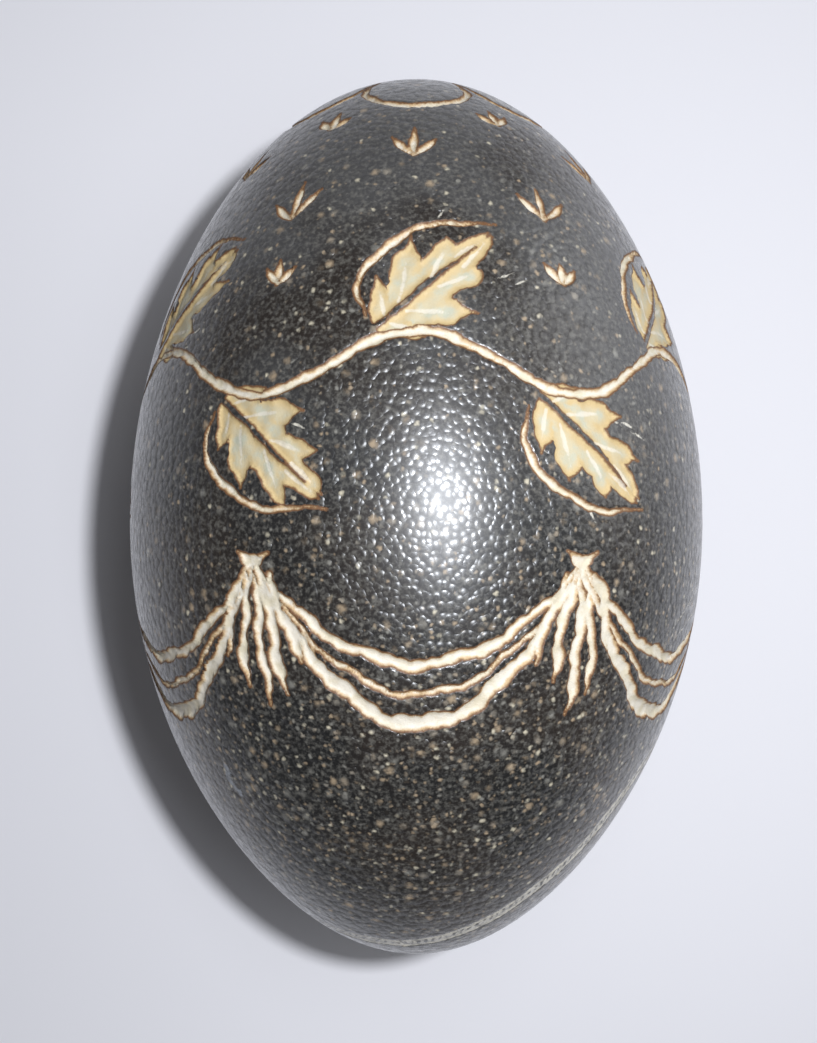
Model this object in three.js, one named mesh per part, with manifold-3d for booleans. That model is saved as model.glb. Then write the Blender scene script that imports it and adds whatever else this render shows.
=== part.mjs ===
// A carved emu egg, lying on its side as it would on a table.
// One solid: the egg, with an ornament cut a little way through its dark outer skin and a small resting flat.
// Millimetres, +Z up. The long axis runs along Y with the blunter end towards +Y, and the egg rests on z = 0.
import * as THREE from "three";
import { mergeVertices } from "three/addons/utils/BufferGeometryUtils.js";
import Module from "manifold-3d";

// The egg itself
const LENGTH = 134;
const WIDTH = 87.5;
const END_SHAPE = [-0.013, -0.075, 0.054]; // how its outline leaves an ellipse, per t, t squared and t cubed
const REST_FLAT_DEPTH = 0.4;
const RINGS = 22;
const FACETS_ROUND = 36;

// The cuts
const CUT_DEPTH = 0.6;
const ABOVE_SKIN = 1; // how far a cutter stands out of the egg

// A wreath round the shoulder: a wavy stem with a leaf on each crest and in each hollow
const WREATH = { along: 18.5, swing: 4, waves: 6, width: 1.4 };
const LEAF_LENGTH = 21;
const LEAF_HALF_WIDTH = 6.6;
const LEAF_SLANT = 40; // degrees away from the stem's own run
const LEAF_RIB = 0.45; // half the uncut rib along its middle
const RIB_STEPS = [1, 0.75, 0.5, 0.25, 0.02];
// One side of a leaf with its lobes: how far along it, and how far out as a share of its half width
const LEAF_SIDE = [
  [0.02, 0.12],
  [0.2, 0.86],
  [0.3, 0.6],
  [0.52, 1],
  [0.6, 0.62],
  [0.8, 0.6],
  [1, 0.02],
];

// Hanging swags of two folds between hooks, with a tassel below each hook
const SWAGS = { count: 6, hook: -8, firstTurn: 30 };
const FOLDS = [
  { sag: 21, width: 2 },
  { sag: 13, width: 1.5 },
];
const FOLD_STEPS = 8;
const TASSEL = [
  { turnFrom: -1, turnTo: -4.5, length: 13 },
  { turnFrom: 0, turnTo: 0, length: 17 },
  { turnFrom: 1, turnTo: 4.5, length: 13 },
];
const TASSEL_WIDTH = 1.5;

// Sprigs of three strokes, and a flower round the blunt end
const SPRIG_ROWS = [
  { along: 40, size: 5, firstTurn: 30 },
  { along: 49, size: 4.6, firstTurn: 0 },
];
const SPRIG_SPREAD = [-48, 0, 48]; // degrees
const SPRIG_WIDTH = 1.1;
const FLOWER = { petals: 6, heart: 64.5, tip: 58, width: 1.1 };

const wasm = await Module();
wasm.setup();

// Half the egg's thickness at a place along it, from -LENGTH / 2 to LENGTH / 2.
function radiusAt(along) {
  const t = THREE.MathUtils.clamp(along / (LENGTH / 2), -1, 1);
  const [first, second, third] = END_SHAPE;
  return (WIDTH / 2) * Math.sqrt(1 - t * t) * (1 + t * (first + t * (second + t * third)));
}

// A point of the egg's outline in the plane of its axis, moved out by lift along the outline's normal.
function outlinePoint(along, lift = 0) {
  const reach = LENGTH / 2 - 1e-3;
  const here = THREE.MathUtils.clamp(along, -reach, reach);
  const step = Math.min(0.01, (LENGTH / 2 - Math.abs(here)) / 2);
  const slope = (radiusAt(here + step) - radiusAt(here - step)) / (2 * step);
  const normal = new THREE.Vector2(1, -slope).normalize();
  return new THREE.Vector2(radiusAt(here), here).addScaledVector(normal, lift);
}

// A point on or off the skin. turn is in degrees round the long axis, from the top towards +X.
function skinPoint({ turn, along }, lift = 0) {
  const { x: radius, y } = outlinePoint(along, lift);
  const angle = THREE.MathUtils.degToRad(turn);
  return new THREE.Vector3(radius * Math.sin(angle), y, radius * Math.cos(angle));
}

// The place that lies across and up millimetres from another one, over the skin.
function placeBeside({ turn, along }, across, up) {
  const degreesPerMillimetre = THREE.MathUtils.radToDeg(1 / radiusAt(along + up / 2));
  return { turn: turn + across * degreesPerMillimetre, along: along + up };
}

// A closed geometry as a solid that can be cut and joined.
function solidOf(geometry) {
  const bare = new THREE.BufferGeometry().setAttribute("position", geometry.getAttribute("position"));
  bare.setIndex(geometry.index);
  const { index, attributes } = mergeVertices(bare);
  const triVerts = [];
  for (let i = 0; i < index.count; i += 3) {
    const corners = [index.getX(i), index.getX(i + 1), index.getX(i + 2)];
    if (new Set(corners).size === 3) triVerts.push(...corners);
  }
  return new wasm.Manifold(
    new wasm.Mesh({
      numProp: 3,
      vertProperties: attributes.position.array,
      triVerts: new Uint32Array(triVerts),
    }),
  );
}

// The whole egg, turned on its axis.
function eggSolid() {
  const outline = [new THREE.Vector2(0, -LENGTH / 2)];
  for (let ring = 1; ring < RINGS; ring++) {
    outline.push(outlinePoint((-LENGTH / 2) * Math.cos((Math.PI * ring) / RINGS)));
  }
  outline.push(new THREE.Vector2(0, LENGTH / 2));
  return solidOf(new THREE.LatheGeometry(outline, FACETS_ROUND));
}

// A cutter between two matching loops of points, one above the skin and one below it.
// triangles cover the loop's inside and are wound to face out of the egg.
function slab(above, below, triangles) {
  const count = above.length;
  const faces = triangles.flatMap(([a, b, c]) => [a, b, c, count + a, count + c, count + b]);
  for (let i = 0; i < count; i++) {
    const next = (i + 1) % count;
    faces.push(i, count + i, count + next, i, count + next, next);
  }
  return solidOf(new THREE.BufferGeometry().setFromPoints([...above, ...below]).setIndex(faces));
}

// The cutter of a gouged line: a ribbon of the given width that follows places over the skin.
function lineCutter(places, width) {
  const middle = places.map((place) => skinPoint(place));
  const left = [];
  const right = [];
  middle.forEach((here, i) => {
    const before = middle[Math.max(i - 1, 0)];
    const after = middle[Math.min(i + 1, middle.length - 1)];
    const outward = skinPoint(places[i], 1).sub(here);
    const across = after.clone().sub(before).cross(outward).setLength(width / 2);
    left.push({ at: here.clone().sub(across), outward });
    right.push({ at: here.clone().add(across), outward });
  });
  const loop = [...right, ...left.reverse()];
  const moved = (lift) => loop.map(({ at, outward }) => at.clone().addScaledVector(outward, lift));
  const last = loop.length - 1;
  const triangles = [];
  for (let i = 0; i < places.length - 1; i++) {
    triangles.push([i, i + 1, last - i], [i + 1, last - i - 1, last - i]);
  }
  return slab(moved(ABOVE_SKIN), moved(-CUT_DEPTH), triangles);
}

// The cutter of a cleared patch, from the places round its edge, anticlockwise seen from outside.
function patchCutter(edge) {
  const chart = edge.map(({ turn, along }) => new THREE.Vector2(turn, along));
  const triangles = THREE.ShapeUtils.triangulateShape(chart, []);
  const moved = (lift) => edge.map((place) => skinPoint(place, lift));
  return slab(moved(ABOVE_SKIN), moved(-CUT_DEPTH), triangles);
}

// Evenly spaced turns round the egg.
function turnsRound(count, firstTurn = 0) {
  return Array.from({ length: count }, (_, i) => firstTurn + (360 * i) / count);
}

// The wreath's stem at a turn.
function stemPlace(turn) {
  const { along, swing, waves } = WREATH;
  return { turn, along: along + swing * Math.cos(THREE.MathUtils.degToRad(waves * turn)) };
}

// The stem, in one closed run made of two halves that overlap.
function wreathStem() {
  const steps = WREATH.waves * 4;
  return [0, 180].map((start) => {
    const places = Array.from({ length: steps + 2 }, (_, i) => stemPlace(start + (180 * i) / steps));
    return lineCutter(places, WREATH.width);
  });
}

// Both halves of one leaf, on either side of its rib. up is 1 for a leaf above the stem, or -1 below it.
function leafCutters(root, up) {
  const slant = THREE.MathUtils.degToRad(LEAF_SLANT) * up;
  const inLeaf = (reach, out) =>
    placeBeside(
      root,
      reach * Math.cos(slant) - out * Math.sin(slant),
      reach * Math.sin(slant) + out * Math.cos(slant),
    );
  return [-1, 1].map((hand) => {
    const side = LEAF_SIDE.map(([reach, share]) => {
      const out = Math.max(share * LEAF_HALF_WIDTH, LEAF_RIB + 0.15);
      return inLeaf(reach * LEAF_LENGTH, hand * out);
    });
    const rib = RIB_STEPS.map((reach) => inLeaf(reach * LEAF_LENGTH, hand * LEAF_RIB));
    const edge = [...side, ...rib];
    return patchCutter(hand > 0 ? edge.reverse() : edge);
  });
}

// A leaf on each crest of the stem and in each hollow.
function wreathLeaves() {
  return turnsRound(WREATH.waves * 2).flatMap((turn, i) => {
    const up = i % 2 ? -1 : 1;
    const root = placeBeside(stemPlace(turn - 8), 0, up * 1.6);
    return leafCutters(root, up);
  });
}

// The folds of every swag, each an arc from hook to hook.
function swagFolds() {
  const half = 180 / SWAGS.count;
  return turnsRound(SWAGS.count, SWAGS.firstTurn + half).flatMap((middle) =>
    FOLDS.map(({ sag, width }) => {
      const places = Array.from({ length: FOLD_STEPS + 1 }, (_, i) => {
        const share = (2 * i) / FOLD_STEPS - 1;
        return { turn: middle + share * half, along: SWAGS.hook - sag * (1 - share * share) };
      });
      return lineCutter(places, width);
    }),
  );
}

// Strokes that hang from each hook.
function tassels() {
  return turnsRound(SWAGS.count, SWAGS.firstTurn).flatMap((hook) =>
    TASSEL.map(({ turnFrom, turnTo, length }) => {
      const top = { turn: hook + turnFrom, along: SWAGS.hook + 1 };
      const bottom = { turn: hook + turnTo, along: SWAGS.hook - length };
      return lineCutter([top, bottom], TASSEL_WIDTH);
    }),
  );
}

function sprigs() {
  return SPRIG_ROWS.flatMap(({ along, size, firstTurn }) =>
    turnsRound(SWAGS.count, firstTurn).flatMap((turn) =>
      SPRIG_SPREAD.map((spread) => {
        const root = { turn, along };
        const lean = THREE.MathUtils.degToRad(spread);
        const tip = placeBeside(root, size * Math.sin(lean), size * Math.cos(lean));
        return lineCutter([root, tip], SPRIG_WIDTH);
      }),
    ),
  );
}

// Looped petals round the blunt end, each two sides that meet at its tip.
function flower() {
  const { petals, heart, tip, width } = FLOWER;
  const half = 180 / petals;
  return turnsRound(petals).flatMap((turn) =>
    [-1, 1].map((hand) => {
      const places = [
        { turn: turn + hand * half, along: heart },
        { turn: turn + hand * half * 0.85, along: (heart + tip) / 2 },
        { turn: turn + hand * half * 0.55, along: tip + 1 },
        { turn: turn - hand * 2, along: tip },
      ];
      return lineCutter(places, width);
    }),
  );
}

function carvedEgg() {
  const cutters = [
    ...wreathStem(),
    ...wreathLeaves(),
    ...swagFolds(),
    ...tassels(),
    ...sprigs(),
    ...flower(),
  ];
  return eggSolid().subtract(wasm.Manifold.union(cutters));
}

// A solid back as a geometry that three.js can draw.
function geometryOf(solid) {
  const { vertProperties, triVerts } = solid.getMesh();
  const geometry = new THREE.BufferGeometry();
  geometry.setAttribute("position", new THREE.BufferAttribute(vertProperties, 3));
  geometry.setIndex(new THREE.BufferAttribute(triVerts, 1));
  geometry.computeVertexNormals();
  return geometry;
}

// The egg raised to lie on z = 0, with its underside cut to the resting flat.
function restingEgg() {
  const lowestSkin = -WIDTH / 2 + REST_FLAT_DEPTH;
  const belowTable = new THREE.BoxGeometry(WIDTH, LENGTH, WIDTH).translate(0, 0, lowestSkin - WIDTH / 2);
  const egg = new THREE.Mesh(
    geometryOf(carvedEgg().subtract(solidOf(belowTable))).translate(0, 0, -lowestSkin),
    new THREE.MeshStandardMaterial({ color: "#3a3633", roughness: 0.35, metalness: 0 }),
  );
  egg.name = "emu_egg";
  return egg;
}

const part = new THREE.Group();
part.add(restingEgg());

export default part;
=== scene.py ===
import math

import bmesh
import bpy
import numpy as np
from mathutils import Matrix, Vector
from mathutils.kdtree import KDTree


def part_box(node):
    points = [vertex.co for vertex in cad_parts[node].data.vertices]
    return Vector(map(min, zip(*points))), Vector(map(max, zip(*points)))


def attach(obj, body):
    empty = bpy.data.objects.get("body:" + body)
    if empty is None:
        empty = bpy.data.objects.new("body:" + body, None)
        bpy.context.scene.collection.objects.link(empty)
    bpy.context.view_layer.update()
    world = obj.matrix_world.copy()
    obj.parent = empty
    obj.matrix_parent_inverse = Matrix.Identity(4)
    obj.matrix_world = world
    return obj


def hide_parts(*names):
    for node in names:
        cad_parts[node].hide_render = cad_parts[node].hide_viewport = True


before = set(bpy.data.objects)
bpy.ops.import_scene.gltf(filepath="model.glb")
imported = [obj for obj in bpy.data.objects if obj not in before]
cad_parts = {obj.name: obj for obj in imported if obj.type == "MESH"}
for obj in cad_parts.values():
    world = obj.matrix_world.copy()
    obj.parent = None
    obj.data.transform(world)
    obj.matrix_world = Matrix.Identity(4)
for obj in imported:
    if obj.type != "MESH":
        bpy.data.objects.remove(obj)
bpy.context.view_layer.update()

bl_info = {
    "name": "Carved Emu Egg",
    "version": (1, 0, 0),
    "blender": (4, 5, 0),
    "location": "View3D > Sidebar > Emu Egg",
    "description": "A speckled emu egg, carved through its dark skin in a wreath, swags and sprigs",
    "category": "Add Mesh",
}

# The egg as it lies in the frame. Scene units are metres. The carving is laid out in millimetres.
MM = 0.001
EGG_NODE = "emu_egg"
EGG_LOW, EGG_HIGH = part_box(EGG_NODE)
HALF_LENGTH = (EGG_HIGH.y - EGG_LOW.y) / 2 / MM
HALF_WIDTH = (EGG_HIGH.x - EGG_LOW.x) / 2 / MM
AXIS_HEIGHT = EGG_HIGH.z / MM - HALF_WIDTH
END_SHAPE = (-0.013, -0.075, 0.054)  # how it leaves an ellipse, per t, t squared and t cubed
SKIN_ROUNDS = 5  # how often a point is moved to bring it onto the skin

# The kinds of cut. They also name the mesh attributes that hold how far inside one a point is
SCRAPED = "scraped_reach"
GOUGED = "gouged_reach"
VEINED = "veined_reach"
SCRATCHED = "scratched_reach"
CHALKED = "chalked_reach"
CUT_KINDS = (SCRAPED, GOUGED, VEINED, SCRATCHED, CHALKED)
RIB = "rib"  # what is left standing in a leaf's scraped blade
FARTHEST_REACH = 4.0

# Where the side of each kind of cut starts and ends, by reach, and how uneven a blade's floor is
CUT_SIDES = {
    SCRAPED: (-0.05, 0.4),
    GOUGED: (-0.08, 0.55),
    VEINED: (-0.05, 0.35),
    SCRATCHED: (-0.05, 0.2),
}
SCRAPE_SWELL = 0.06

# The hand that holds the tool: its sway's wavelengths, and how far each swells a stroke's width
HAND_WAVES = ((11.0, 0.1), (4.3, 0.12), (1.9, 0.08))
STROKE_WOBBLE = 0.18
STROKE_SPACING = 0.14
BROAD_SPACING = 0.25
STANDSTILL = 1e-9  # added to a length that is divided by

# The net is finest within a margin of a cut's edge, and its edges grow by a share of the way beyond.
# An edge that is longer than wanted by the last factor is split.
FIRST_SPLITS = 5
FINE_MARGIN = 0.35
EDGE_GROWTH = 0.55
SPLIT_FACTOR = 1.4

# The wreath: a wavy stem with a leaf on each crest and in each hollow
WREATH_ALONG = 18.5
WREATH_SWING = 4.0
WREATH_WAVES = 6
LEAF_COUNT = 2 * WREATH_WAVES
STEM_HALF_WIDTH = 0.7
LEAF_LENGTH = 21.0
LEAF_HALF_WIDTH = 6.6
LEAF_SLANT = 40.0
LEAF_ROOT_TURN = -8.0
LEAF_ROOT_LIFT = 1.6
# Each lobe: where it leaves the rib, how far along and how far out its tip is, and its half width
LEAF_LOBES = (
    (0.07, 0.23, 0.86, 1.35),
    (0.2, 0.53, 1.0, 2.0),
    (0.46, 0.82, 0.62, 1.6),
    (0.68, 1.02, 0.06, 1.15),
)
RIB_HALF_WIDTH = 0.42
LEAF_SLIPS = 5  # small slips of the tool at a leaf's edge

# The swags, hung between hooks, with a tassel below each hook
SWAG_COUNT = 6
SWAG_HOOK_ALONG = -8.0
SWAG_FIRST_TURN = 30.0
FOLDS = ((21.0, 1.0), (17.0, 0.42), (13.0, 0.75))  # sag and half width of each fold
FOLD_POINTS = 13
# Each stroke of a tassel: how far round from the hook its top and its foot are, and its length
TASSEL_STROKES = (
    (-2.8, -8.0, 12.5),
    (-1.3, -4.0, 16.0),
    (0.1, 0.4, 19.0),
    (1.5, 4.6, 16.0),
    (2.9, 8.2, 12.0),
)
TASSEL_HALF_WIDTH = 0.88

# Each row of sprigs: its place along the egg, their size and its first turn
SPRIG_ROWS = ((40.0, 5.0, 30.0), (49.0, 4.6, 0.0), (30.0, 3.4, 30.0), (54.5, 3.0, 30.0))
SPRIG_SPREAD = (-48.0, 0.0, 48.0)
SPRIG_HALF_WIDTH = 0.6

# The flower round the blunt end. A petal is in shares of its half turn and places along the egg
FLOWER_PETALS = 6
PETAL = ((-1, 64.5), (-0.85, 61.25), (-0.5, 58.8), (0, 58.0), (0.5, 58.8), (0.85, 61.25), (1, 64.5))

# The hatched band round the small end: turns and places along the egg that its inner line passes
BAND = (
    (-11, -63.5), (15, -62.4), (36, -59.2), (48, -54.8), (58, -49.0), (65, -42.2),
    (74, -36.5), (90, -34.2), (110, -33.6), (135, -34.8), (160, -38.0), (185, -43.0),
    (210, -48.5), (235, -53.5), (262, -57.8), (295, -61.2), (325, -63.0), (349, -63.5),
)
BAND_WIDTH = 1.7
BAND_SWELLS = 12
BAND_WOBBLE = 0.08
INNER_LINE = [0.46, 0.34]  # half widths of its two lines and of its hatches
OUTER_LINE = [0.26, 0.34]
HATCH = [0.15, 0.3, 0.15]
HATCH_SPACING = 1.25
HATCH_SLANT = 1.1

# Wear that the photograph shows: two hairlines and a chalky smear, as turns and places along the egg
HAIRLINES = (
    ((54.0, -19.0), (66.0, -14.0), (80.0, -7.5)),
    ((57.0, -19.6), (70.0, -15.6), (83.0, -10.5)),
)
CHALK_SMEAR = ((-49.0, -35.0), (-47.5, -38.2), (-43.5, -41.6))

# The skin's grains and flecks, as cells to a millimetre. Soft flecks also have a least size and a
# softness
GRAINS_PER_MM = 0.9
FLECK_CELLS = ((0.52, 0.24, 0.46), (1.05, 0.26, 0.42))
BRIGHT_CELLS = 0.5
# Between which places along the egg the flecks get more, and the skin greyer. The greyer skin
# towards the blunt end is a painted sheen
FLECKED_ALONG = (5.0, -32.0)
SHEEN_ALONG = (-12.0, 42.0)

# How unevenly the lighter cuts show: the noise's share, an offset, where the step starts and ends,
# and how strongly they show
PATCHES = {
    SCRATCHED: (0.3, 0.16, -0.1, 0.08, 0.9),
    CHALKED: (1.6, 0.9, 0.0, 0.5, 0.6),
    VEINED: (0.4, 0.2, -0.04, 0.2, 1.0),
}
VEIN_SHARE = 0.65

# The gloss of the shell, and of the smooth waxy veil over it where it isn't cut
SHELL_IOR = 1.48
PIT_ROUGHNESS = 0.15
CUT_ROUGHNESS = 0.35
CUT_RELIEF = 0.5
WAX_SHARE = 0.75
WAX_ROUGHNESS = 0.39
WAX_IOR = 1.55

# Kinds of socket on a shader group
VECTOR = "NodeSocketVector"
COLOUR = "NodeSocketColor"
NUMBER = "NodeSocketFloat"

# The stage, in metres. Each light: its place from the egg's middle, its two widths and its colour
FLOOR_HALF_SIZE = 3.0
FLOOR_ROUGHNESS = 0.9
FLOOR_SPECULAR = 0.2
LIGHTS = {
    "key": ((0.049, 0.015, 0.3), (0.02, 0.02), (0.9, 0.935, 1)),
    "glow": ((0.049, 0.015, 0.3), (0.22, 0.05), (0.86, 0.91, 1)),
    "soft": ((0.5, 0.22, 0.16), (0.5, 0.5), (0.95, 0.97, 1)),
}
FRAMING = (-1.16 * MM, -1.09 * MM, 0)  # how far the camera stands off the egg's middle
NEAREST_SEEN = 0.01


def end_factor(t):
    """The outline's factor on an ellipse, and its slope."""
    first, second, third = END_SHAPE
    factor = 1 + t * (first + t * (second + t * third))
    slope = first + t * (2 * second + t * 3 * third)
    return factor, slope


def radius_at(along):
    """Half the egg's thickness at places along it."""
    t = np.clip(along / HALF_LENGTH, -1, 1)
    factor, _slope = end_factor(t)
    return HALF_WIDTH * np.sqrt(1 - t * t) * factor


def on_skin(points):
    """Moves points straight out from the egg's middle, or in, onto its skin."""
    rim = points[:, 0] ** 2 + points[:, 2] ** 2
    t = points[:, 1] / HALF_LENGTH
    scale = np.ones(len(points))
    for _ in range(SKIN_ROUNDS):
        factor, _slope = end_factor(t * scale)
        scale = 1 / np.sqrt(rim / (HALF_WIDTH * factor) ** 2 + t * t)
    return points * scale[:, None]


def skin_normals(points):
    """Outward unit normals at points of the skin."""
    t = points[:, 1] / HALF_LENGTH
    factor, slope = end_factor(t)
    across = 1 / (HALF_WIDTH * factor) ** 2
    rim = points[:, 0] ** 2 + points[:, 2] ** 2
    along = (t - rim * across * slope / factor) / HALF_LENGTH
    normals = np.stack([points[:, 0] * across, along, points[:, 2] * across], axis=1)
    return normals / np.linalg.norm(normals, axis=1, keepdims=True)


def across_curve(curve, guard=0.0):
    """Unit steps across a curve, over the skin. A guard is for curves that may stand still."""
    sideways = np.cross(np.gradient(curve, axis=0), skin_normals(curve))
    return sideways / (np.linalg.norm(sideways, axis=1, keepdims=True) + guard)


def skin_points(places):
    """Points of the skin at (turn, along) places. A turn is in degrees from the top towards +X."""
    turn = np.radians(places[:, 0])
    radius = radius_at(places[:, 1])
    return np.stack([radius * np.sin(turn), places[:, 1], radius * np.cos(turn)], axis=1)


def place_beside(place, across, up):
    """The place that lies across and up from another one, over the skin."""
    turn, along = place
    radius = float(radius_at(np.array(along + up / 2)))
    return turn + math.degrees(across / radius), along + up


def smooth_curve(points, spacing):
    """A smooth curve through points, as close samples and the share of the points' run at each."""
    padded = np.concatenate([[2 * points[0] - points[1]], points, [2 * points[-1] - points[-2]]])
    samples = []
    shares = []
    runs = len(points) - 1
    for i in range(runs):
        before, start, end, after = padded[i : i + 4]
        count = max(2, math.ceil(np.linalg.norm(end - start) / spacing))
        t = np.arange(count)[:, None] / count
        bend = 2 * start + (end - before) * t + (2 * before - 5 * start + 4 * end - after) * t**2
        samples.append(0.5 * (bend + (3 * start - before - 3 * end + after) * t**3))
        shares.append((i + t[:, 0]) / runs)
    samples.append(points[-1:])
    shares.append(np.ones(1))
    return np.concatenate(samples), np.concatenate(shares)


def rounded_steps(shares, values):
    """Values along a run, passing from each to the next with level starts and ends."""
    place = shares * (len(values) - 1)
    before = np.minimum(place.astype(int), len(values) - 2)
    t = place - before
    values = np.array(values)
    return values[before] + (values[before + 1] - values[before]) * t * t * (3 - 2 * t)


class Carving:
    """Every stroke cut into the egg, as discs along it, and how far inside a cut any point is."""

    def __init__(self, seed):
        self.hand = np.random.default_rng(seed)
        self.discs = {kind: [] for kind in (*CUT_KINDS, RIB)}
        self.trees = {}

    def stroke(self, kind, places, half_widths, wobble=STROKE_WOBBLE, spacing=STROKE_SPACING):
        """Lays a tapered stroke through (turn, along) places."""
        self.trace(kind, skin_points(np.array(places, float)), half_widths, wobble, spacing)

    def trace(self, kind, points, half_widths, wobble=STROKE_WOBBLE, spacing=STROKE_SPACING):
        """Lays a tapered stroke through points, with the small sway of a hand-held tool."""
        curve, shares = smooth_curve(points, spacing)
        curve = on_skin(curve)
        steps = np.linalg.norm(np.diff(curve, axis=0), axis=1)
        run = np.concatenate([[0], np.cumsum(steps)])
        sway = np.zeros(len(curve))
        swell = np.ones(len(curve))
        for wavelength, swelling in HAND_WAVES:
            phase, other = self.hand.uniform(0, 2 * math.pi, 2)
            sway += np.sin(run * 2 * math.pi / wavelength + phase) * wavelength / HAND_WAVES[0][0]
            swell += swelling * np.sin(run * 2 * math.pi / (1.13 * wavelength) + other)
        sideways = across_curve(curve, STANDSTILL)
        curve = on_skin(curve + sideways * (wobble * sway)[:, None])
        widths = rounded_steps(shares, half_widths) * swell
        self.discs[kind].append(np.column_stack([curve, widths]))

    def finish(self):
        """Sorts the discs of each kind into a search tree."""
        for kind, strokes in self.discs.items():
            discs = np.concatenate(strokes)
            tree = KDTree(len(discs))
            for i, disc in enumerate(discs.tolist()):
                tree.insert(disc[:3], i)
            tree.balance()
            self.trees[kind] = (tree, discs[:, 3].tolist())

    def reach(self, kind, points, neighbours=8):
        """How far inside the cuts of one kind each point is. Outside a cut it is below zero."""
        tree, widths = self.trees[kind]
        found = []
        for point in points.tolist():
            _, index, gap = tree.find(point)
            if gap - widths[index] > FARTHEST_REACH:
                found.append(-FARTHEST_REACH)
                continue
            near = tree.find_n(point, neighbours)
            found.append(max(widths[i] - distance for _, i, distance in near))
        return np.array(found)

    def reaches(self, points):
        """The reach of each kind of cut at points. A leaf's rib stands inside its scraped blade."""
        found = {kind: self.reach(kind, points) for kind in CUT_KINDS}
        found[SCRAPED] = np.minimum(found[SCRAPED], -self.reach(RIB, points))
        return found


def turns_round(count, first_turn=0.0):
    """Evenly spaced turns round the egg."""
    return [first_turn + 360 * i / count for i in range(count)]


def stem_place(turn):
    """A place on the wreath's wavy stem."""
    return turn, WREATH_ALONG + WREATH_SWING * math.cos(math.radians(WREATH_WAVES * turn))


def carve_wreath(carving):
    """The stem, and a lobed leaf on each crest and in each hollow of it."""
    stem = [stem_place(turn) for turn in range(0, 366, 5)]
    half_widths = [STEM_HALF_WIDTH, 0.85 * STEM_HALF_WIDTH] * LEAF_COUNT
    carving.stroke(GOUGED, stem, half_widths, wobble=0.12)
    for i, turn in enumerate(turns_round(LEAF_COUNT)):
        carve_leaf(carving, turn, -1 if i % 2 else 1)


def carve_leaf(carving, turn, up):
    """One leaf: scraped lobes on both sides of a standing rib, and a gouged contour beside them."""
    root = place_beside(stem_place(turn + LEAF_ROOT_TURN), 0, up * LEAF_ROOT_LIFT)
    slant = math.radians(LEAF_SLANT) * up

    def in_leaf(share, out):
        """The place at a share of the leaf's length and so far out from its rib."""
        reach = share * LEAF_LENGTH
        across = reach * math.cos(slant) - out * math.sin(slant)
        return place_beside(root, across, reach * math.sin(slant) + out * math.cos(slant))

    for hand in (-1, 1):
        for start, tip, out, half_width in LEAF_LOBES:
            size = carving.hand.uniform(0.9, 1.08)
            edge = hand * out * LEAF_HALF_WIDTH * size
            inner = hand * 0.8
            middle = in_leaf(start + 0.6 * (tip - start), inner + 0.5 * (edge - inner))
            route = [in_leaf(start, inner), middle, in_leaf(tip * size if tip < 1 else 1, edge)]
            half_widths = [half_width, half_width, 0.12]
            carving.stroke(SCRAPED, route, half_widths, wobble=0.12, spacing=BROAD_SPACING)
            vein_end = in_leaf(start + 0.75 * (tip - start), 0.72 * edge)
            vein = [in_leaf(start + 0.03, inner), vein_end]
            carving.stroke(VEINED, vein, [0.3, 0.36, 0.1], wobble=0.12)
        body = [in_leaf(0.04, hand * 0.6), in_leaf(0.45, hand * 1.9), in_leaf(0.95, hand * 0.3)]
        carving.stroke(SCRAPED, body, [0.5, 1.9, 1.4, 0.3], wobble=0.1, spacing=BROAD_SPACING)
    rib = [in_leaf(-0.02, 0.0), in_leaf(0.4, 0.25), in_leaf(0.86, 0.0)]
    carving.stroke(RIB, rib, [RIB_HALF_WIDTH, RIB_HALF_WIDTH, 0.12], wobble=0.1)
    contour = [
        in_leaf(0.0, up * 2.2),
        in_leaf(0.1, up * LEAF_HALF_WIDTH * 0.98),
        in_leaf(0.42, up * LEAF_HALF_WIDTH * 1.24),
        in_leaf(0.76, up * LEAF_HALF_WIDTH * 0.92),
        in_leaf(1.08, up * 0.5),
    ]
    carving.stroke(GOUGED, contour, [0.12, 0.45, 0.6, 0.42, 0.12], wobble=0.2)
    for _ in range(LEAF_SLIPS):
        start = carving.hand.uniform(0.1, 0.9)
        side = carving.hand.choice((-1, 1))
        out = side * LEAF_HALF_WIDTH * carving.hand.uniform(0.55, 1.05)
        slip = [
            in_leaf(start, out),
            in_leaf(start + 0.07, 1.12 * out),
            in_leaf(start + 0.15, 1.2 * out),
        ]
        carving.stroke(SCRATCHED, slip, [0.04, 0.16, 0.03], wobble=0.08)


def carve_tassel(carving, hook):
    """Gouges that fan out under a hook, and the knot over them."""
    for turn_from, turn_to, length in TASSEL_STROKES:
        length *= carving.hand.uniform(0.88, 1.12)
        sway = carving.hand.uniform(-0.8, 0.8)
        strand = [
            (hook + turn_from, SWAG_HOOK_ALONG - 1.5),
            (hook + (turn_from + turn_to) / 2 + sway, SWAG_HOOK_ALONG - 0.55 * length),
            (hook + turn_to, SWAG_HOOK_ALONG - length),
        ]
        full = TASSEL_HALF_WIDTH * carving.hand.uniform(0.8, 1.15)
        half_widths = [0.5 * full, full, 0.8 * full, 1.05 * full, 0.2]
        carving.stroke(GOUGED, strand, half_widths, wobble=0.35)
    horn = SWAG_HOOK_ALONG + 1.6
    knot = [(hook - 3.2, horn), (hook, SWAG_HOOK_ALONG), (hook + 3.2, horn)]
    carving.stroke(GOUGED, knot, [0.2, 1.1, 0.2])


def carve_swags(carving):
    """Folds that hang from hook to hook, and a tassel under each hook."""
    half = 180 / SWAG_COUNT
    shares = np.linspace(-1, 1, FOLD_POINTS)
    for hook in turns_round(SWAG_COUNT, SWAG_FIRST_TURN):
        for sag, full in FOLDS:
            turns = hook + half + shares * half
            fold = np.stack([turns, SWAG_HOOK_ALONG - sag * (1 - shares**2)], axis=1)
            half_widths = [0.55 * full, full, 1.08 * full, full, 0.55 * full]
            carving.stroke(GOUGED, fold, half_widths, wobble=0.3)
        carve_tassel(carving, hook)


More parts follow.
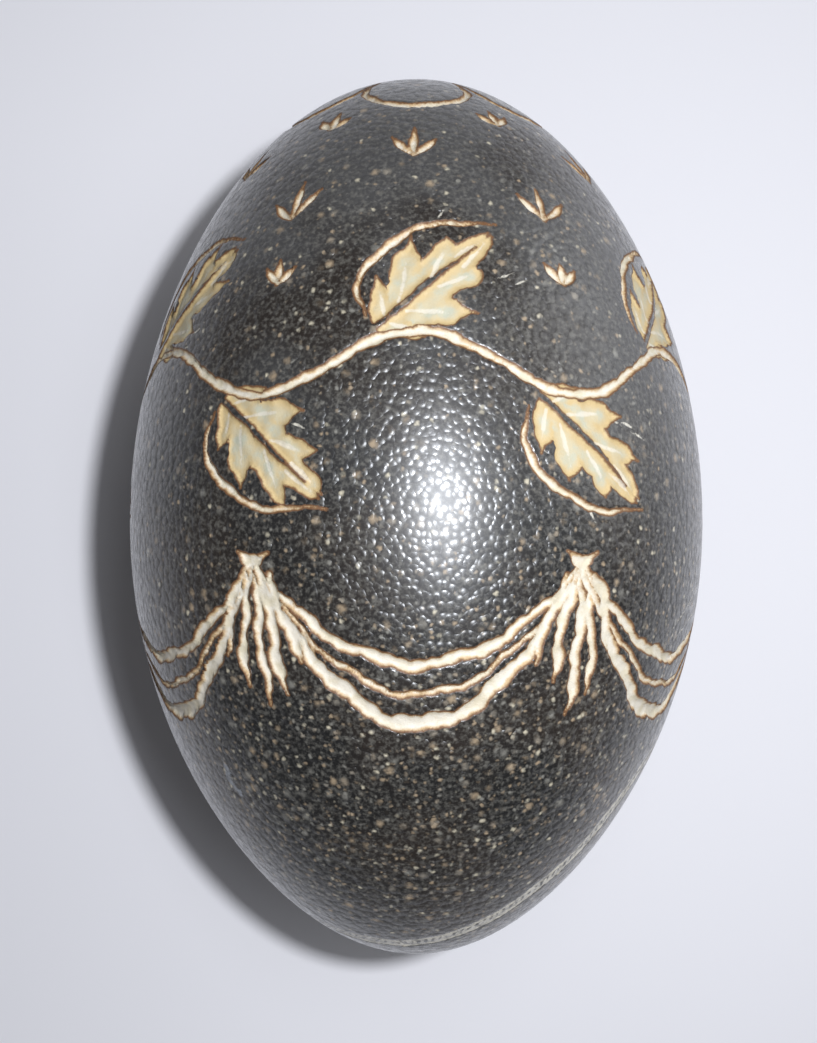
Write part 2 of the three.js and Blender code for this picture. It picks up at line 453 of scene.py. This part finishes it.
def carve_sprigs(carving):
    """Rows of small sprigs, each of three short strokes from one root."""
    hand = carving.hand
    for along, size, first_turn in SPRIG_ROWS:
        for turn in turns_round(SWAG_COUNT, first_turn):
            root = (turn + hand.uniform(-1.5, 1.5), along + hand.uniform(-0.7, 0.7))
            for spread in SPRIG_SPREAD:
                lean = math.radians(spread + hand.uniform(-8, 8))
                across, up = math.sin(lean), math.cos(lean)
                length = size * hand.uniform(0.85, 1.15)
                tip = place_beside(root, length * across, length * up)
                middle = place_beside(root, 0.55 * length * across, 0.5 * length * up)
                half_widths = [0.25, SPRIG_HALF_WIDTH, 0.12]
                carving.stroke(GOUGED, [root, middle, tip], half_widths, wobble=0.08)


def carve_flower(carving):
    """Looped petals round the blunt end."""
    half = 180 / FLOWER_PETALS
    for turn in turns_round(FLOWER_PETALS):
        petal = [(turn + share * half, along) for share, along in PETAL]
        carving.stroke(GOUGED, petal, [0.2, 0.6, 0.65, 0.6, 0.2])


def carve_band(carving):
    """A thin hatched band that runs askew round the small end."""
    inner, _ = smooth_curve(skin_points(np.array(BAND, float)), HATCH_SPACING)
    inner = on_skin(inner)
    outer = on_skin(inner - BAND_WIDTH * across_curve(inner))
    carving.trace(SCRATCHED, inner, INNER_LINE * BAND_SWELLS, BAND_WOBBLE)
    carving.trace(SCRATCHED, outer, OUTER_LINE * BAND_SWELLS, BAND_WOBBLE)
    ahead = round(HATCH_SLANT * BAND_WIDTH / HATCH_SPACING)
    for start, end in zip(inner[: len(inner) - ahead], outer[ahead:]):
        carving.trace(SCRATCHED, np.stack([start, (start + end) / 2, end]), HATCH, BAND_WOBBLE)


def add_wear(carving):
    """Two hairline scratches and a chalky smear."""
    for hairline in HAIRLINES:
        carving.stroke(SCRATCHED, hairline, [0.05, 0.14, 0.05], wobble=0.1)
    carving.stroke(CHALKED, CHALK_SMEAR, [0.3, 1.0, 0.9, 0.2], wobble=0.4)


def planned_carving(seed):
    """The whole carving, ready to be measured."""
    carving = Carving(seed)
    carve_wreath(carving)
    carve_swags(carving)
    carve_sprigs(carving)
    carve_flower(carving)
    carve_band(carving)
    add_wear(carving)
    carving.finish()
    return carving


def first_form():
    """An even net of triangles over the egg, about 5 mm each."""
    net = bmesh.new()
    bmesh.ops.create_icosphere(net, subdivisions=FIRST_SPLITS, radius=1)
    ball = np.array([vert.co for vert in net.verts])
    faces = np.array([[vert.index for vert in face.verts] for face in net.faces])
    net.free()
    x, y, z = ball.T
    lying = np.stack([x * HALF_WIDTH, z * HALF_LENGTH, -y * HALF_WIDTH], axis=1)
    return on_skin(lying), faces


def split_faces(faces, middles):
    """Splits each triangle at its sides that have a middle point. A side without one has -1."""
    count = (middles >= 0).sum(axis=1)
    split = [faces[count == 0]]
    for wanted in (1, 2):
        # Turned so that the first side is the only split one, or the last side the only whole one
        chosen = count == wanted
        marks = middles[chosen] >= 0
        first = np.argmax(marks, axis=1) if wanted == 1 else (np.argmin(marks, axis=1) + 1) % 3
        order = (first[:, None] + np.arange(3)) % 3
        a, b, c = np.take_along_axis(faces[chosen], order, axis=1).T
        on_ab, on_bc, _ = np.take_along_axis(middles[chosen], order, axis=1).T
        if wanted == 1:
            split += [np.stack([a, on_ab, c], axis=1), np.stack([on_ab, b, c], axis=1)]
        else:
            split += [np.stack([on_ab, b, on_bc], axis=1), np.stack([a, on_ab, on_bc], axis=1)]
            split.append(np.stack([a, on_bc, c], axis=1))
    a, b, c = faces[count == 3].T
    on_ab, on_bc, on_ca = middles[count == 3].T
    for corners in ((a, on_ab, on_ca), (on_ab, b, on_bc), (on_ca, on_bc, c), (on_ab, on_bc, on_ca)):
        split.append(np.stack(corners, axis=1))
    return np.concatenate(split)


def wanted_edge(reaches, finest, coarsest):
    """How long the net's edges may be, by how far a point is from the edge of a cut."""
    gap = np.min([np.abs(reach) for kind, reach in reaches.items() if kind != CHALKED], axis=0)
    return np.clip(finest + EDGE_GROWTH * np.maximum(gap - FINE_MARGIN, 0), finest, coarsest)


def fine_form(carving, finest, coarsest):
    """The egg's net, split finer and finer towards the edges of the cuts."""
    points, faces = first_form()
    reaches = carving.reaches(points)
    while True:
        wanted = wanted_edge(reaches, finest, coarsest)
        sides = np.concatenate([faces[:, [0, 1]], faces[:, [1, 2]], faces[:, [2, 0]]])
        edges, which = np.unique(np.sort(sides, axis=1), axis=0, return_inverse=True)
        lengths = np.linalg.norm(points[edges[:, 0]] - points[edges[:, 1]], axis=1)
        long = lengths > SPLIT_FACTOR * wanted[edges].mean(axis=1)
        if not long.any():
            return points, faces, reaches
        middle_of = np.full(len(edges), -1)
        middle_of[long] = len(points) + np.arange(long.sum())
        added = on_skin(points[edges[long]].mean(axis=1))
        faces = split_faces(faces, middle_of[which.ravel()].reshape(3, -1).T)
        points = np.concatenate([points, added])
        new = carving.reaches(added)
        reaches = {kind: np.concatenate([reach, new[kind]]) for kind, reach in reaches.items()}


def eased(value, start, end):
    """0 before start, 1 after end, and smooth between them."""
    t = np.clip((value - start) / (end - start), 0, 1)
    return t * t * (3 - 2 * t)


def cut_depths(reaches, points, look):
    """How deep the cuts go at each point, in millimetres."""
    wave = points[:, 0] * 2.3 + 1.7 * np.sin(points[:, 1] * 0.9)
    depths = {
        SCRAPED: look.scraped_depth / MM + SCRAPE_SWELL * np.sin(wave),
        GOUGED: look.gouged_depth / MM,
        VEINED: (look.scraped_depth + look.scratched_depth) / MM,
        SCRATCHED: look.scratched_depth / MM,
    }
    sides = {kind: eased(reaches[kind], *CUT_SIDES[kind]) for kind in depths}
    return np.max([depths[kind] * sides[kind] for kind in depths], axis=0)


def make_egg_mesh(look):
    """The egg's fine carved mesh, with its resting flat. The reaches are kept as attributes."""
    carving = planned_carving(look.hand_seed)
    points, faces, reaches = fine_form(carving, look.finest_edge / MM, look.coarsest_edge / MM)
    carved = points - skin_normals(points) * cut_depths(reaches, points, look)[:, None]
    carved[:, 2] = np.maximum(carved[:, 2] + AXIS_HEIGHT, 0)
    mesh = bpy.data.meshes.new("carved_eggshell")
    mesh.from_pydata((carved * MM).tolist(), [], faces.tolist())
    for kind, reach in reaches.items():
        attribute = mesh.attributes.new(kind, "FLOAT", "POINT")
        attribute.data.foreach_set("value", reach.astype(np.float32))
    mesh.shade_smooth()
    mesh.update()
    return mesh


class NodeDesk:
    """Adds and joins shader nodes in one tree, so that a material reads like a recipe."""

    def __init__(self, tree):
        self.tree = tree

    def add(self, kind, inputs=None, **settings):
        """A node with its settings, and with values or links put into its inputs."""
        node = self.tree.nodes.new(kind)
        for name, value in settings.items():
            setattr(node, name, value)
        for socket, value in (inputs or {}).items():
            self.put(node.inputs[socket], value)
        return node

    def put(self, socket, value):
        """Links an output to a socket, or sets the socket's own value. A colour is made opaque."""
        if isinstance(value, bpy.types.NodeSocket):
            self.tree.links.new(value, socket)
        elif socket.type == "RGBA":
            socket.default_value = (*value, 1)
        else:
            socket.default_value = value

    def math(self, operation, first, second=0.0, third=0.0):
        """One sum on numbers."""
        node = self.add("ShaderNodeMath", {0: first, 1: second, 2: third}, operation=operation)
        return node.outputs[0]

    def scaled(self, vector, scale):
        """A vector made longer or shorter."""
        node = self.add("ShaderNodeVectorMath", {0: vector, "Scale": scale}, operation="SCALE")
        return node.outputs[0]

    def step(self, value, start, end, low=0.0, high=1.0):
        """A smooth step from low at start to high at end."""
        inputs = {"Value": value, "From Min": start, "From Max": end, "To Min": low, "To Max": high}
        node = self.add("ShaderNodeMapRange", inputs, interpolation_type="SMOOTHSTEP")
        return node.outputs[0]

    def mix(self, factor, first, second):
        """A colour between two others."""
        node = self.add("ShaderNodeMix", data_type="RGBA")
        self.put(node.inputs[0], factor)
        self.put(node.inputs[6], first)
        self.put(node.inputs[7], second)
        return node.outputs[2]

    def noise(self, position, scale, detail=2.0, roughness=0.5):
        """Soft noise between 0 and 1, with scale in features per millimetre."""
        inputs = {"Vector": position, "Scale": scale, "Detail": detail, "Roughness": roughness}
        return self.add("ShaderNodeTexNoise", inputs).outputs[0]

    def bent(self, position, scale, reach):
        """A position moved about by up to half of reach, so that what it places is uneven."""
        inputs = {"Vector": position, "Scale": scale, "Detail": 1.0}
        push = self.add("ShaderNodeTexNoise", inputs).outputs[1]
        settings = {0: push, 1: (reach, reach, reach), 2: position}
        return self.add("ShaderNodeVectorMath", settings, operation="MULTIPLY_ADD").outputs[0]

    def cells(self, position, scale):
        """A Voronoi node, with scale in cells per millimetre."""
        return self.add("ShaderNodeTexVoronoi", {"Vector": position, "Scale": scale})

    def split(self, colour):
        """The three channels of a colour."""
        return self.add("ShaderNodeSeparateColor", {0: colour}).outputs


def new_group(name, inputs, outputs):
    """An empty shader group with named sockets, its desk, its inputs and its output node."""
    tree = bpy.data.node_groups.new(name, "ShaderNodeTree")
    for side, sockets in (("INPUT", inputs), ("OUTPUT", outputs)):
        for socket_name, kind in sockets.items():
            tree.interface.new_socket(socket_name, in_out=side, socket_type=kind)
    desk = NodeDesk(tree)
    given = desk.add("NodeGroupInput").outputs
    result = desk.add("NodeGroupOutput")
    return tree, desk, given, result


def shell_grain_group():
    """The egg's skin: close dark grains with paler flecks in the pits between them."""
    inputs = {"Position": VECTOR, "Fleck Amount": NUMBER}
    inputs |= dict.fromkeys(("Dark", "Warm Dark", "Tan Fleck", "Grey Fleck", "Bright Fleck"), COLOUR)
    outputs = {"Colour": COLOUR, "Height": NUMBER, "Pit": NUMBER}
    tree, desk, given, result = new_group("shell_grain", inputs, outputs)
    position = given["Position"]

    # Low domes close together, some of them tilted by a slower swell
    fine = desk.noise(position, 2.2, 2.0)
    to_middle = desk.cells(position, GRAINS_PER_MM).outputs["Distance"]
    hollow = desk.math("POWER", to_middle, 3.0)
    slow = desk.noise(position, 0.42, 1.0)
    swell = desk.math("MULTIPLY_ADD", slow, 0.8, desk.math("MULTIPLY", fine, 0.12))
    height = desk.math("MULTIPLY_ADD", hollow, -2.2, swell)

    drift = desk.noise(position, 0.045, 2.0)
    deep = desk.mix(desk.step(drift, 0.4, 0.62), given["Dark"], given["Warm Dark"])
    grainy = desk.step(desk.noise(position, 1.6, 2.0, 0.6), 0.4, 0.76, 0.0, 0.42)
    colour = desk.mix(grainy, deep, given["Grey Fleck"])

    # Soft flecks of two sizes. Each cell's random colour gives its fleck size, tone and strength
    bent = desk.bent(position, 1.3, 0.55)
    for scale, least, softness in FLECK_CELLS:
        cell = desk.cells(bent, scale)
        red, green, blue = desk.split(cell.outputs["Color"])[:3]
        size = desk.math("MULTIPLY_ADD", green, 0.26, least)
        distance = desk.math("SUBTRACT", cell.outputs["Distance"], 0.15)
        ragged = desk.math("MULTIPLY_ADD", fine, 0.3, distance)
        spot = desk.step(desk.math("SUBTRACT", size, ragged), 0.0, softness)
        chosen = desk.step(desk.math("SUBTRACT", given["Fleck Amount"], red), -0.05, 0.3)
        fleck = desk.mix(desk.step(blue, 0.35, 0.8), given["Tan Fleck"], given["Grey Fleck"])
        colour = desk.mix(desk.math("MULTIPLY", spot, chosen), colour, fleck)

    # A few bright ones, where the dark skin has come off a grain
    bright = desk.cells(bent, BRIGHT_CELLS)
    chance = desk.split(bright.outputs["Color"])[0]
    ragged = desk.math("MULTIPLY_ADD", fine, 0.16, bright.outputs["Distance"])
    spot = desk.step(ragged, 0.32, 0.1)
    chosen = desk.step(desk.math("SUBTRACT", given["Fleck Amount"], chance), 0.02, 0.3)
    colour = desk.mix(desk.math("MULTIPLY", spot, chosen), colour, given["Bright Fleck"])
    desk.put(result.inputs["Colour"], colour)
    desk.put(result.inputs["Height"], height)
    desk.put(result.inputs["Pit"], desk.step(to_middle, 0.3, 0.65))
    return tree


def cut_layer_group():
    """What a cut shows: a brown torn edge, then the pale layer, by how far inside a point is."""
    inputs = {"Position": VECTOR} | dict.fromkeys(("Edge", "Rim", "Floor", "Mottle"), COLOUR)
    inputs |= dict.fromkeys(("Reach", "Rim Width", "Mottle Amount"), NUMBER)
    outputs = {"Colour": COLOUR, "Mask": NUMBER}
    tree, desk, given, result = new_group("cut_layer", inputs, outputs)
    position = given["Position"]
    ragged = desk.noise(position, 1.9, 3.0, 0.6)
    reach = desk.math("MULTIPLY_ADD", ragged, 0.34, desk.math("SUBTRACT", given["Reach"], 0.17))
    soft = desk.noise(position, 0.42, 3.0, 0.55)
    mottle = desk.math("MULTIPLY", desk.step(soft, 0.42, 0.66), given["Mottle Amount"])
    floor = desk.mix(mottle, given["Floor"], given["Mottle"])
    streak = desk.step(desk.noise(position, 2.6, 3.0, 0.65), 0.55, 0.8, 0.0, 0.35)
    floor = desk.mix(streak, floor, given["Rim"])
    rim_reach = desk.math("MULTIPLY_ADD", soft, 0.9, desk.math("SUBTRACT", reach, 0.45))
    rim = desk.math("DIVIDE", rim_reach, given["Rim Width"])
    colour = desk.mix(desk.step(rim, 0.15, 1.0), given["Rim"], floor)
    colour = desk.mix(desk.step(reach, -0.02, 0.26), given["Edge"], colour)
    desk.put(result.inputs["Colour"], colour)
    desk.put(result.inputs["Mask"], desk.step(reach, -0.24, -0.02))
    return tree


def use_group(desk, tree, inputs):
    """Places a group in a material with its own values."""
    return desk.add("ShaderNodeGroup", inputs, node_tree=tree).outputs


def skin_of_shell(desk, position, look):
    """The uncut skin, which is blacker and has more flecks towards the small end. Its greyer skin
    towards the blunt end is a painted sheen.
    """
    along = desk.add("ShaderNodeSeparateXYZ", {0: position}).outputs[1]
    inputs = {
        "Position": position,
        # The skin turns greyer towards the blunt end: a painted sheen, not the skin's own tone
        "Dark": desk.mix(desk.step(along, *SHEEN_ALONG), look.shell_dark, look.shell_sheen_grey),
        "Warm Dark": look.shell_warm_dark,
        "Tan Fleck": look.tan_fleck,
        "Grey Fleck": look.grey_fleck,
        "Bright Fleck": look.bright_fleck,
        "Fleck Amount": desk.step(along, *FLECKED_ALONG, 0.5, 0.9),
    }
    return use_group(desk, shell_grain_group(), inputs)


def layers_in_cuts(desk, position, reach, look):
    """What the scraped blades and the gouged lines show."""
    layers = cut_layer_group()
    shared = {"Position": position, "Edge": look.torn_edge}
    scraped = {
        "Reach": reach[SCRAPED],
        "Rim": look.scraped_rim,
        "Floor": look.scraped_floor,
        "Mottle": look.scraped_mottle,
        "Rim Width": 1.6,
        "Mottle Amount": 0.85,
    }
    gouged = {
        "Reach": reach[GOUGED],
        "Rim": look.gouged_rim,
        "Floor": look.gouged_floor,
        "Mottle": look.scraped_floor,
        "Rim Width": 0.45,
        "Mottle Amount": 0.6,
    }
    return use_group(desk, layers, shared | scraped), use_group(desk, layers, shared | gouged)


def patches_of_cuts(desk, position, reach):
    """Where the scratches, the chalk and the veins show, which is patchy."""
    patchy = desk.noise(position, 1.4, 3.0, 0.6)
    shown = {}
    for kind, (share, offset, start, end, strength) in PATCHES.items():
        uneven = desk.math("MULTIPLY_ADD", patchy, share, desk.math("SUBTRACT", reach[kind], offset))
        shown[kind] = desk.step(uneven, start, end, 0.0, strength)
    return shown


def eggshell_material(look):
    """Dark glossy grained shell, with the pale layers where it is cut, and its light wear."""
    material = bpy.data.materials.new("carved_eggshell")
    material.use_nodes = True
    tree = material.node_tree
    tree.nodes.clear()
    desk = NodeDesk(tree)
    place = desk.add("ShaderNodeTexCoord").outputs["Object"]
    position = desk.scaled(place, 1 / MM)
    reach = {}
    for kind in CUT_KINDS:
        reach[kind] = desk.add("ShaderNodeAttribute", attribute_name=kind).outputs["Fac"]
    grain = skin_of_shell(desk, position, look)
    scraped, gouged = layers_in_cuts(desk, position, reach, look)
    shown = patches_of_cuts(desk, position, reach)

    colour = desk.mix(shown[CHALKED], grain["Colour"], look.chalk)
    colour = desk.mix(shown[SCRATCHED], colour, look.scratch)
    colour = desk.mix(scraped["Mask"], colour, scraped["Colour"])
    vein = desk.math("MULTIPLY", shown[VEINED], scraped["Mask"])
    colour = desk.mix(desk.math("MULTIPLY", vein, VEIN_SHARE), colour, look.gouged_floor)
    colour = desk.mix(gouged["Mask"], colour, gouged["Colour"])

    cut = desk.math("MAXIMUM", scraped["Mask"], gouged["Mask"])
    uncut = desk.math("SUBTRACT", 1.0, cut)
    shell_roughness = desk.math("MULTIPLY_ADD", grain["Pit"], PIT_ROUGHNESS, look.shell_roughness)
    roughness = desk.math("ADD", shell_roughness, desk.math("MULTIPLY", cut, CUT_ROUGHNESS))
    scrape_marks = desk.math("MULTIPLY", desk.noise(position, 3.2, 3.0, 0.6), cut)
    cut_height = desk.math("MULTIPLY", scrape_marks, CUT_RELIEF)
    height = desk.math("ADD", desk.math("MULTIPLY", grain["Height"], uncut), cut_height)
    relief = {"Height": height, "Strength": 1.0, "Distance": look.pebble_height}
    bump = desk.add("ShaderNodeBump", relief)

    shader = desk.add(
        "ShaderNodeBsdfPrincipled",
        {
            "Base Color": colour,
            "Roughness": roughness,
            "IOR": SHELL_IOR,
            "Coat Weight": desk.math("MULTIPLY", uncut, WAX_SHARE),
            "Coat Roughness": WAX_ROUGHNESS,
            "Coat IOR": WAX_IOR,
            "Normal": bump.outputs[0],
        },
    )
    output = desk.add("ShaderNodeOutputMaterial")
    tree.links.new(shader.outputs[0], output.inputs[0])
    return material


def pale_floor(colour):
    """A plain pale matt floor, which is part of the stage."""
    half = FLOOR_HALF_SIZE
    corners = [(-half, -half, 0), (half, -half, 0), (half, half, 0), (-half, half, 0)]
    mesh = bpy.data.meshes.new("floor")
    mesh.from_pydata(corners, [], [(0, 1, 2, 3)])
    material = bpy.data.materials.new("pale_floor")
    material.use_nodes = True
    shader = material.node_tree.nodes["Principled BSDF"]
    shader.inputs["Base Color"].default_value = (*colour, 1)
    shader.inputs["Roughness"].default_value = FLOOR_ROUGHNESS
    shader.inputs["Specular IOR Level"].default_value = FLOOR_SPECULAR
    mesh.materials.append(material)
    floor = bpy.data.objects.new("floor", mesh)
    bpy.context.scene.collection.objects.link(floor)


def area_light(name, place, target, size, power, colour):
    """A round or oval light at a place, turned towards a point."""
    light = bpy.data.lights.new(name, "AREA")
    light.shape = "ELLIPSE"
    light.size, light.size_y = size
    light.energy = power
    light.color = colour
    lamp = bpy.data.objects.new(name, light)
    lamp.location = place
    lamp.rotation_euler = (target - place).to_track_quat("-Z", "Y").to_euler()
    bpy.context.scene.collection.objects.link(lamp)


def colour_property(name, description, default):
    """A colour that a user can change."""
    return bpy.props.FloatVectorProperty(
        name=name, description=description, default=default, subtype="COLOR", min=0, max=1, size=3
    )


def number_property(name, description, default, **settings):
    """A number that a user can change."""
    return bpy.props.FloatProperty(name=name, description=description, default=default, **settings)


def length_property(name, description, default):
    """A length that a user can change."""
    return number_property(name, description, default, unit="LENGTH", precision=5)


def power_property(name, description, default):
    """A light's power that a user can change."""
    return number_property(name, description, default, unit="POWER", min=0)


class EmuEggLook(bpy.types.PropertyGroup):
    """Sizes and colours of the carved egg."""

    hand_seed: bpy.props.IntProperty(
        name="Hand", description="Which small sways the carver's hand makes", default=7
    )
    finest_edge: length_property("Finest Edge", "Longest mesh edge at the edge of a cut", 0.37 * MM)
    coarsest_edge: length_property("Coarsest Edge", "Longest mesh edge on plain shell", 1.7 * MM)
    scraped_depth: length_property("Scraped Depth", "Depth of the leaves' scraped blades", 0.42 * MM)
    gouged_depth: length_property("Gouged Depth", "Depth of the gouged lines", 0.6 * MM)
    scratched_depth: length_property("Scratched Depth", "Depth of band and hairlines", 0.12 * MM)
    pebble_height: length_property("Pebble Height", "Relief of the shell's grains", 0.115 * MM)
    shell_roughness: number_property(
        "Shell Roughness", "Roughness on top of the grains", 0.19, min=0, max=1
    )
    shell_dark: colour_property("Dark Shell", "Blackest skin", (0.007, 0.0066, 0.0062))
    # Painted sheen: this grey towards the blunt end stands in for glare on the gloss
    shell_sheen_grey: colour_property("Grey Shell", "Skin at the blunt end", (0.054, 0.052, 0.0505))
    shell_warm_dark: colour_property("Warm Dark Shell", "Browner skin", (0.016, 0.0115, 0.0085))
    tan_fleck: colour_property("Tan Flecks", "Warm flecks in the skin", (0.3, 0.225, 0.145))
    grey_fleck: colour_property("Grey Flecks", "Cool flecks in the skin", (0.19, 0.18, 0.155))
    bright_fleck: colour_property("Bright Flecks", "Grains that lost their skin", (0.47, 0.42, 0.31))
    torn_edge: colour_property("Torn Edge", "Brown skin at the edge of a cut", (0.145, 0.066, 0.025))
    scraped_rim: colour_property("Scraped Rim", "Tone near the edge of a blade", (0.5, 0.37, 0.18))
    scraped_floor: colour_property("Scraped Floor", "Cream floor of a blade", (0.49, 0.42, 0.27))
    scraped_mottle: colour_property("Scraped Mottle", "Grey green on that floor", (0.41, 0.42, 0.33))
    gouged_rim: colour_property("Gouged Rim", "Tone near the edge of a gouge", (0.5, 0.35, 0.185))
    gouged_floor: colour_property("Gouged Floor", "Pale floor of a gouge", (0.62, 0.57, 0.475))
    scratch: colour_property("Scratch", "Band and hairlines", (0.58, 0.54, 0.45))
    chalk: colour_property("Chalk", "Pale smear on the shell", (0.32, 0.345, 0.38))


class EmuEggStage(bpy.types.PropertyGroup):
    """The floor, the lights and the camera."""

    floor_colour: colour_property("Floor", "Pale floor", (0.74, 0.725, 0.74))
    surround: colour_property("Surround", "Light from all round", (0.86, 0.88, 0.94))
    surround_strength: number_property(
        "Surround Strength", "Strength of the light from all round", 0.12, min=0
    )
    key_power: power_property("Key", "Small light beside the camera", 1.1)
    glow_power: power_property("Glow", "Oval light round the small one", 0.17)
    soft_power: power_property("Soft", "Large light on the right", 1.0)
    camera_distance: length_property("Camera Distance", "From the egg's middle to the camera", 0.25)
    camera_elevation: number_property(
        "Camera Elevation", "How far up the camera is", math.radians(88), subtype="ANGLE"
    )
    lens: number_property("Lens", "Focal length in mm on a 36 mm sensor", 55.6)


class EMUEGG_OT_carved_shell(bpy.types.Operator):
    """Makes the carved eggshell in place of its plain solid"""

    bl_idname = "emu_egg.carved_shell"
    bl_label = "Carved Eggshell"

    def execute(self, context):
        look = context.scene.emu_egg_look
        shell = bpy.data.objects.new("carved_eggshell", make_egg_mesh(look))
        context.scene.collection.objects.link(shell)
        shell.data.materials.append(eggshell_material(look))
        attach(shell, "root")
        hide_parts(EGG_NODE)
        return {"FINISHED"}


class EMUEGG_OT_stage(bpy.types.Operator):
    """Sets the pale floor, the soft lights and the camera"""

    bl_idname = "emu_egg.stage"
    bl_label = "Stage"

    def execute(self, context):
        scene = context.scene
        stage = scene.emu_egg_stage
        scene.view_settings.view_transform = "Standard"
        pale_floor(stage.floor_colour)

        world = bpy.data.worlds.new("surround")
        world.use_nodes = True
        background = world.node_tree.nodes["Background"]
        background.inputs["Color"].default_value = (*stage.surround, 1)
        background.inputs["Strength"].default_value = stage.surround_strength
        scene.world = world

        middle = Vector((0, 0, AXIS_HEIGHT * MM))
        powers = {"key": stage.key_power, "glow": stage.glow_power, "soft": stage.soft_power}
        for name, (offset, size, colour) in LIGHTS.items():
            area_light(name, middle + Vector(offset), middle, size, powers[name], colour)

        camera = bpy.data.objects.new("camera", bpy.data.cameras.new("camera"))
        tilt = math.pi / 2 - stage.camera_elevation
        camera.data.lens = stage.lens
        camera.data.clip_start = NEAREST_SEEN
        back = Vector((0, -math.sin(tilt), math.cos(tilt)))
        camera.location = middle + Vector(FRAMING) + back * stage.camera_distance
        camera.rotation_euler = (tilt, 0, 0)
        scene.collection.objects.link(camera)
        scene.camera = camera
        return {"FINISHED"}


class EMUEGG_PT_sidebar(bpy.types.Panel):
    """Lists the egg's operators and settings"""

    bl_idname = "EMUEGG_PT_sidebar"
    bl_label = "Carved Emu Egg"
    bl_space_type = "VIEW_3D"
    bl_region_type = "UI"
    bl_category = "Emu Egg"

    def draw(self, context):
        layout = self.layout
        for operator, settings in (
            (EMUEGG_OT_carved_shell, context.scene.emu_egg_look),
            (EMUEGG_OT_stage, context.scene.emu_egg_stage),
        ):
            layout.operator(operator.bl_idname)
            for name in settings.__annotations__:
                layout.prop(settings, name)


CLASSES = (EmuEggLook, EmuEggStage, EMUEGG_OT_carved_shell, EMUEGG_OT_stage, EMUEGG_PT_sidebar)


def register():
    """Makes the settings and the operators known to Blender."""
    for cls in CLASSES:
        bpy.utils.register_class(cls)
    bpy.types.Scene.emu_egg_look = bpy.props.PointerProperty(type=EmuEggLook)
    bpy.types.Scene.emu_egg_stage = bpy.props.PointerProperty(type=EmuEggStage)


def unregister():
    """Takes them away again."""
    del bpy.types.Scene.emu_egg_stage
    del bpy.types.Scene.emu_egg_look
    for cls in reversed(CLASSES):
        bpy.utils.unregister_class(cls)


def main():
    """Builds the egg and its stage."""
    register()
    bpy.ops.emu_egg.carved_shell()
    bpy.ops.emu_egg.stage()


if __name__ == "__main__":
    main()
